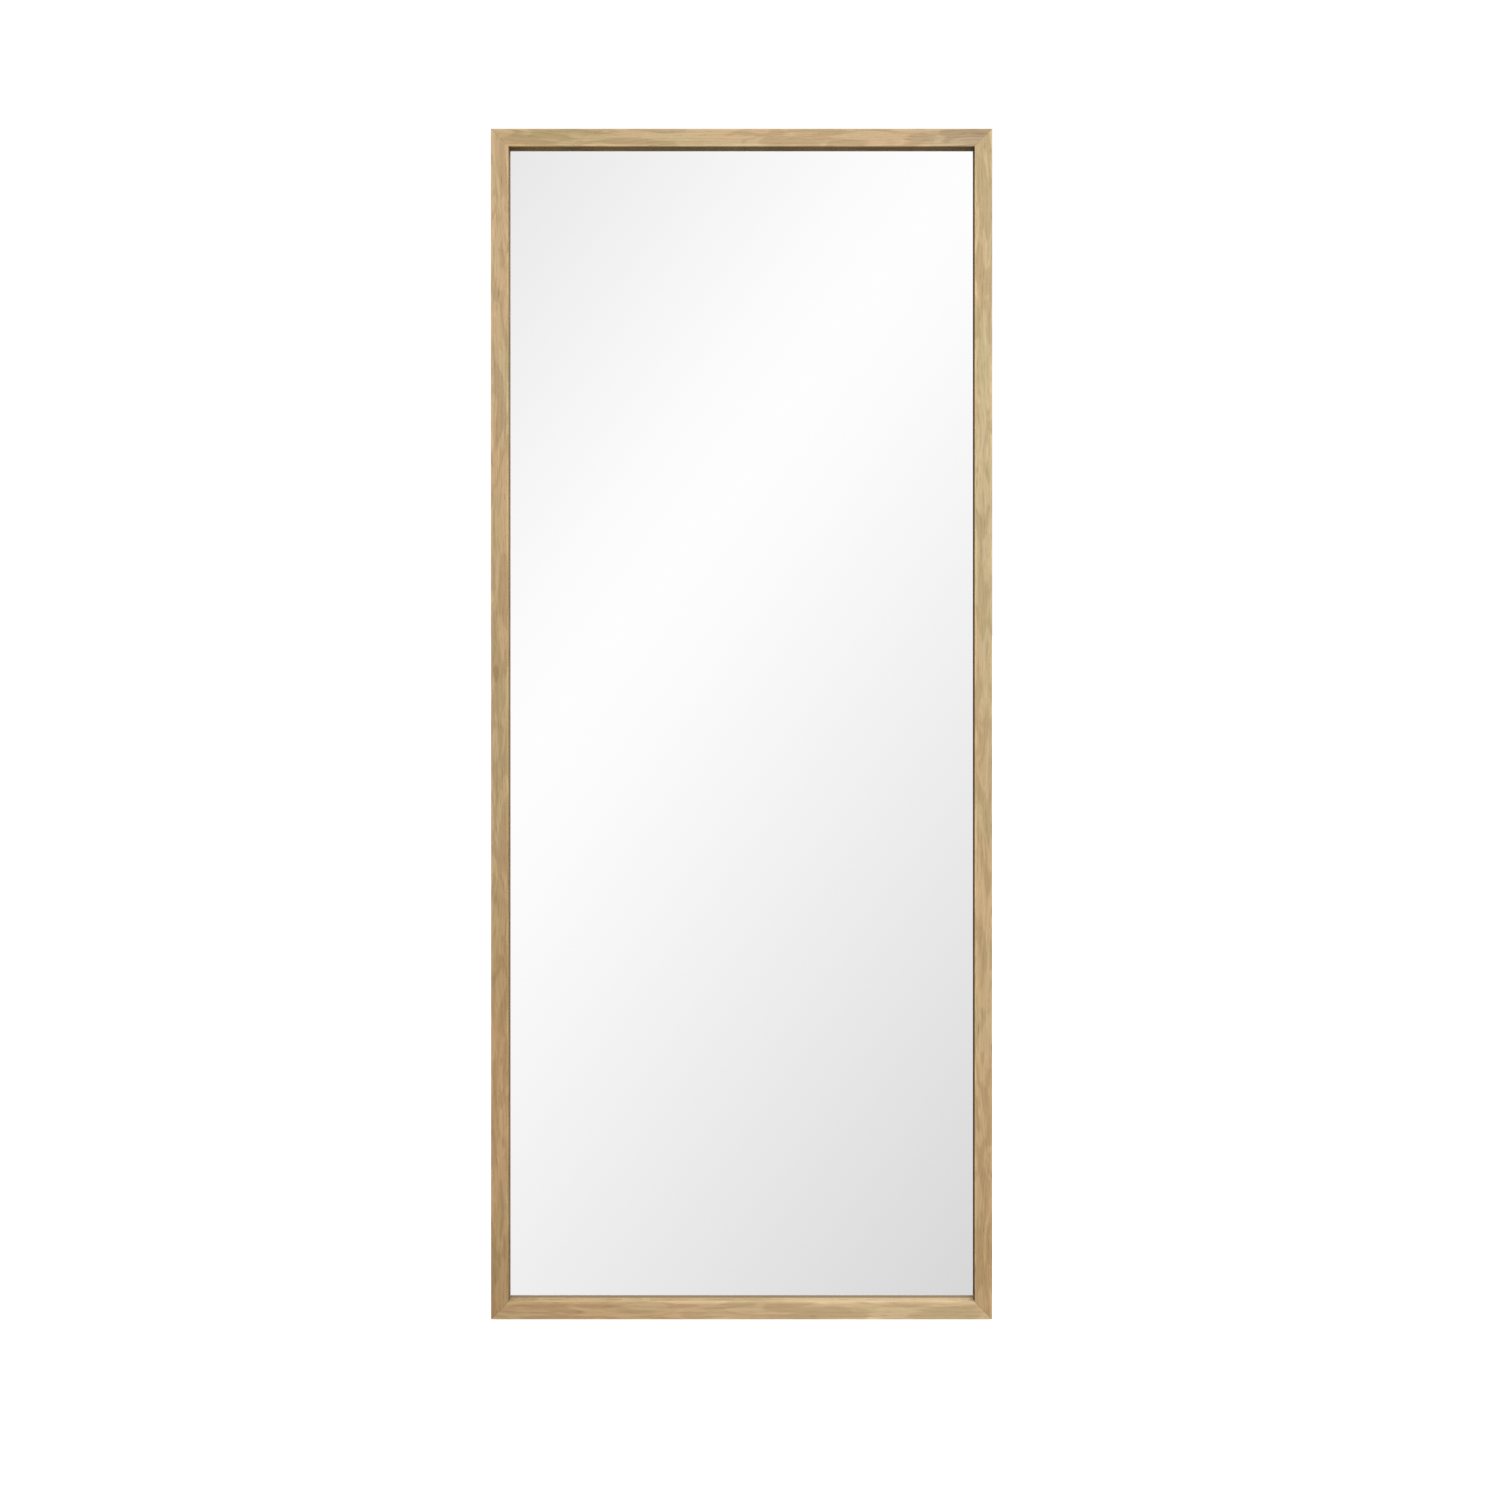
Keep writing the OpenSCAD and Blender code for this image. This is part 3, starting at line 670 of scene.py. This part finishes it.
def pane():
    shape = bmesh.new()
    bmesh.ops.create_cube(shape, size=1.0)
    bmesh.ops.scale(shape, vec=(glass_w, GLASS_T, glass_h), verts=shape.verts)
    bevel_edges(shape, list(shape.edges), ARRIS)
    for face in shape.faces:
        face.smooth = False
        face.material_index = 0 if face.normal.y < -0.99 else 2 if face.normal.y > 0.99 else 1
    bmesh.ops.translate(shape, vec=(0, RECESS + GLASS_T / 2, FRAME_H / 2), verts=shape.verts)
    bmesh.ops.transform(shape, matrix=LEANING, verts=shape.verts)
    mesh = as_mesh("mirror_pane", shape)
    for finish in (silver, edge, back_paint):
        mesh.materials.append(finish.material)
    add_piece("mirror_pane", mesh, "mirror_glass")


pane()
print("pane %.3f x %.3f m" % (glass_w, glass_h))

# %% [markdown]
# ## Screws
#
# The CAD screws are plain pegs. A real head has a cross recess that catches the light, so a
# screw is turned from a profile, and two thin blocks are cut out of its head. Each CAD node
# holds several pegs, so the pegs are told apart as islands of linked points, and a copy of
# the screw goes to each one.

# %% Find the pegs of a CAD node
def islands(shape):
    """Lists of linked points, one for each loose solid of a shape."""
    seen = set()
    for start in shape.verts:
        if start in seen:
            continue
        seen.add(start)
        island = [start]
        for vert in island:  # the list grows while it is walked
            for link in vert.link_edges:
                other = link.other_vert(vert)
                if other not in seen:
                    seen.add(other)
                    island.append(other)
        yield island


def pegs(node):
    """The place, length and head radius of each peg of a node, on the upright mirror."""
    shape = merged(node)
    found = []
    for island in islands(shape):
        points = [UPRIGHT @ vert.co for vert in island]
        low = Vector([min(p[k] for p in points) for k in range(3)])
        high = Vector([max(p[k] for p in points) for k in range(3)])
        place = Vector(((low.x + high.x) / 2, high.y, (low.z + high.z) / 2))
        found.append((place, high.y - low.y, (high.x - low.x) / 2))
    shape.free()
    return found


print("corner screws found:", len(pegs("corner_screws")))


# %% Turn one screw and cut its recess
def turned(profile, steps=28):
    """A solid turned about the Y axis from (radius, y) points, from its tip to its head."""
    shape = bmesh.new()
    verts = [shape.verts.new((r, y, 0)) for r, y in profile]
    edges = [shape.edges.new(pair) for pair in zip(verts, verts[1:])]
    bmesh.ops.spin(shape, geom=verts + edges, cent=(0, 0, 0), axis=(0, 1, 0), angle=2 * math.pi,
                   steps=steps, use_merge=True)
    bmesh.ops.remove_doubles(shape, verts=shape.verts, dist=1e-7)
    bmesh.ops.recalc_face_normals(shape, faces=shape.faces)
    return shape


def driver_blade(radius, turn):
    """A thin block that narrows to its tip, to cut one slot of a cross recess."""
    blade = bmesh.new()
    bmesh.ops.create_cube(blade, size=1.0)
    bmesh.ops.scale(blade, vec=(radius * 1.15, 0.0024, radius * 0.24), verts=blade.verts)
    tip = [v for v in blade.verts if v.co.y < 0]
    bmesh.ops.scale(blade, vec=(0.45, 1, 0.6), verts=tip)
    bmesh.ops.rotate(blade, cent=(0, 0, 0), matrix=Matrix.Rotation(turn, 3, "Y"), verts=blade.verts)
    return in_scene("driver_blade", as_mesh("driver_blade", blade))


def screw_mesh(radius, length, flush):
    """A wood screw whose head is at y = 0 and whose tip points along -Y."""
    if flush:
        shank = radius * 0.55
        head = [(shank, -0.0022), (radius * 0.97, -0.0003), (radius, -0.0001), (radius * 0.97, 0), (0, 0)]
    else:
        shank = radius * 0.54
        head = [(shank, -0.0019), (radius, -0.0019), (radius, -0.0012), (radius * 0.86, -0.0005),
                (radius * 0.55, -0.0001), (0, 0)]
    tip = [(0, -length), (shank * 0.5, -length + 0.002), (shank, -length + 0.004)]
    blank = in_scene("screw_blank", as_mesh("screw_blank", turned(tip + head)))
    blades = [driver_blade(radius, turn) for turn in (0.4, 0.4 + math.pi / 2)]
    for blade in blades:
        cut = blank.modifiers.new("recess", "BOOLEAN")
        cut.operation = "DIFFERENCE"
        cut.solver = "EXACT"
        cut.object = blade
    bpy.context.view_layer.update()
    graph = bpy.context.evaluated_depsgraph_get()
    finished = bpy.data.meshes.new_from_object(blank.evaluated_get(graph))
    for thing in (blank, *blades):
        bpy.data.objects.remove(thing)
    return finished


def screws(node, flush):
    """Replaces the pegs of a CAD node by one mesh of real screws, and counts its faces."""
    shape = bmesh.new()
    made = {}
    for place, length, radius in pegs(node):
        size = (round(length, 4), round(radius, 4))
        if size not in made:
            made[size] = screw_mesh(radius, length, flush)
        start = len(shape.verts)
        shape.from_mesh(made[size])
        shape.verts.ensure_lookup_table()
        new = shape.verts[start:]
        bmesh.ops.rotate(shape, cent=(0, 0, 0), matrix=Matrix.Rotation(start * 0.7, 3, "Y"), verts=new)
        bmesh.ops.translate(shape, vec=place, verts=new)
    bmesh.ops.transform(shape, matrix=LEANING, verts=shape.verts)
    mesh = as_mesh(node + "_driven", shape)
    mesh.set_sharp_from_angle(angle=math.radians(30))
    mesh.materials.clear()
    mesh.materials.append(zinc.material)
    add_piece(node + "_driven", mesh, node)
    return len(mesh.polygons)


for node, flush in {"corner_screws": True, "batten_screws": True, "bracket_screws": False,
                    "track_screws": False, "hanger_screws": False}.items():
    print(node, "has", screws(node, flush), "faces")

# %% [markdown]
# ## The studio
#
# A mirror shows whatever faces it, so the room matters more than the lamps. A tent surrounds
# everything: its wall is bright overhead, plain white behind the mirror, and graded in front,
# where the glass sees it. The grading is laid out as the glass shows it. A line from the
# camera's mirror image through a point of the pane meets the tent, so each place on the tent
# knows its place on the pane. The grading is for reflections and light only. Looked at
# straight, the tent is plain white, which the Light Path node tells apart.

# %% The camera and its mirror image
CAMERA_DISTANCE = 3.4
VIEW_WIDTH = 2.990625 * FRAME_W
AIM_RIGHT = 0.0134
AIM_BELOW = 0.0414
SENSOR = 36

aim = Vector((AIM_RIGHT, 0, FRAME_H / 2 - AIM_BELOW))
eye = LEANING @ (aim - Vector((0, CAMERA_DISTANCE, 0)))
camera = in_scene("camera", bpy.data.cameras.new("camera"))
camera.data.sensor_width = SENSOR
camera.data.lens = SENSOR * CAMERA_DISTANCE / VIEW_WIDTH
camera.data.clip_end = 100
camera.matrix_world = Matrix.Translation(eye) @ Matrix.Rotation(math.pi / 2 - lean, 4, "X")
bpy.context.scene.camera = camera

right_way = Vector((1, 0, 0))
up_way = (LEANING.to_3x3() @ Vector((0, 0, 1))).normalized()
out_way = (LEANING.to_3x3() @ Vector((0, -1, 0))).normalized()
glass_centre = LEANING @ Vector((0, RECESS, FRAME_H / 2))
image_distance = (eye - glass_centre).dot(out_way)
image_of_camera = eye - 2 * out_way * image_distance
print("camera at %.2f %.2f %.2f m" % tuple(eye))


# %% The glow that the glass shows
def pane_place(light):
    """Where the glass shows a point of the studio: metres right of and above the pane's middle."""
    seen = light.vector_math("SUBTRACT", light.place(), image_of_camera)
    depth = light.dot(seen, out_way).math("MAXIMUM", 0.2)
    right = light.dot(seen, right_way) * image_distance / depth
    above = light.dot(seen, up_way) * image_distance / depth
    offset = glass_centre - image_of_camera
    return right - offset.x, above - offset.dot(up_way)


def graded(right, above):
    """The glow for a place on the pane: brightest along a slanting line, fading to both sides."""
    across = (right + 0.019) * 0.803 - (above - 0.387) * 0.597
    from_line = (across * across + 0.0092).math("SQRT") - 0.096
    fade_per_metre = 0.36 - across.ramp(-0.05, 0.05) * 0.05
    return (0.995 - from_line * fade_per_metre).math("MAXIMUM", 0.62)


def shown(right, above):
    """1 where the glass shows the camera the studio, fading to 0 round it."""
    return (1 - right.size().ramp(0.42, 0.80)) * (1 - above.size().ramp(1.30, 1.90))


# %% A tent that is graded as the glass shows it
TENT_RADIUS = 16
PLAIN_WHITE = 1.04
GLASS_GAIN = 1.06  # makes up for the light that the silver does not give back


def tent_finish():
    light = Finish("tent_wall")
    right, above = pane_place(light)
    _, y, z = light.parts(light.vector_math("NORMALIZE", light.place()))
    seen = (0 - y).ramp(0.0, 0.3) * shown(right, above)
    level = 1 - z.size().ramp(0.02, 0.50)
    behind = y.ramp(-0.10, 0.35) * (1 - z.size().ramp(0.40, 0.75))
    plain = 0.66 + level.math("MAXIMUM", behind) * 0.38 + z.ramp(0.55, 0.90) * 0.9
    amount = plain * (1 - seen) + graded(right, above) * GLASS_GAIN * seen
    direct = light.node("ShaderNodeLightPath", out="Is Camera Ray")
    amount = amount * (1 - direct) + direct * PLAIN_WHITE
    light.tree.nodes.remove(light.shader)
    glowing = light.node("ShaderNodeEmission", None, {"Color": light.grey(amount), "Strength": 1.0})
    light.tree.links.new(glowing.socket, light.tree.nodes["Material Output"].inputs["Surface"])
    light.material.cycles.emission_sampling = "NONE"
    return light


def tent():
    shape = bmesh.new()
    bmesh.ops.create_icosphere(shape, subdivisions=5, radius=TENT_RADIUS)
    bmesh.ops.reverse_faces(shape, faces=shape.faces)
    for face in shape.faces:
        face.smooth = True
    mesh = as_mesh("tent", shape)
    mesh.materials.append(tent_finish().material)
    wall = in_scene("tent", mesh)


tent()
print("tent of %d m radius" % TENT_RADIUS)


# %% [markdown]
# ## The floor
#
# The floor is plain and pale. It is lit by the tent and glows a little itself, so that it
# stays white close to the mirror, where the mirror shades it. In the glass it is a little
# greyer, so that the pane can be told from the white round it, but it brightens with distance
# and meets the tent without a line. Where the glass shows the floor to the camera, the floor
# carries on the tent's grading.

# %% The floor
FLOOR_RADIUS = 15.9
NEAR_IN_GLASS = 0.86


def floor_finish():
    floor = Finish("pale_floor", ior=1.45, roughness=0.8, specular_ior_level=0.0, emission_strength=1.0)
    right, above = pane_place(floor)
    x, y, _ = floor.parts(floor.place())
    facing = 1 - floor.node("ShaderNodeLayerWeight", None, {"Blend": 0.5}, out=1)
    glancing = (0 - y).ramp(0.13, 0.18) * (1 - facing.ramp(0.16, 0.30))
    seen = glancing * shown(right, above)
    far = (x * x + y * y).math("SQRT").ramp(1.5, 12.0)
    plain = NEAR_IN_GLASS + far * (PLAIN_WHITE - NEAR_IN_GLASS)
    reflected = plain * (1 - seen) + graded(right, above) * GLASS_GAIN * seen
    apron = (0 - y).ramp(-0.16, 0.02) * (1 - (0 - y).ramp(1.0, 2.4))
    in_glass = floor.node("ShaderNodeLightPath", out="Is Glossy Ray")
    amount = (0.48 + apron * 0.50) * (1 - in_glass) + reflected * in_glass
    shade = floor.grey(0.72 - apron * 0.42)
    floor.set(base_color=floor.mix(in_glass, shade, (0.0, 0.0, 0.0)), emission_color=floor.grey(amount))
    floor.material.cycles.emission_sampling = "NONE"
    return floor


def floor():
    shape = bmesh.new()
    bmesh.ops.create_circle(shape, cap_ends=True, segments=96, radius=FLOOR_RADIUS)
    mesh = as_mesh("floor", shape)
    mesh.materials.append(floor_finish().material)
    ground = in_scene("floor", mesh)


floor()
print("floor of %.1f m radius" % FLOOR_RADIUS)

# %% One large softbox, high in front and a little to the right
lamp = in_scene("softbox", bpy.data.lights.new("softbox", "AREA"))
lamp.data.shape = "RECTANGLE"
lamp.data.size = 6.0
lamp.data.size_y = 4.0
lamp.data.energy = 400
lamp_place = Vector((1.2, -6.6, 7.0))
lamp_aim = (lamp_place - glass_centre).to_track_quat("Z", "Y").to_matrix().to_4x4()
lamp.matrix_world = Matrix.Translation(lamp_place) @ lamp_aim
bpy.context.scene.view_settings.view_transform = "Standard"
print("one lamp, standard view transform")
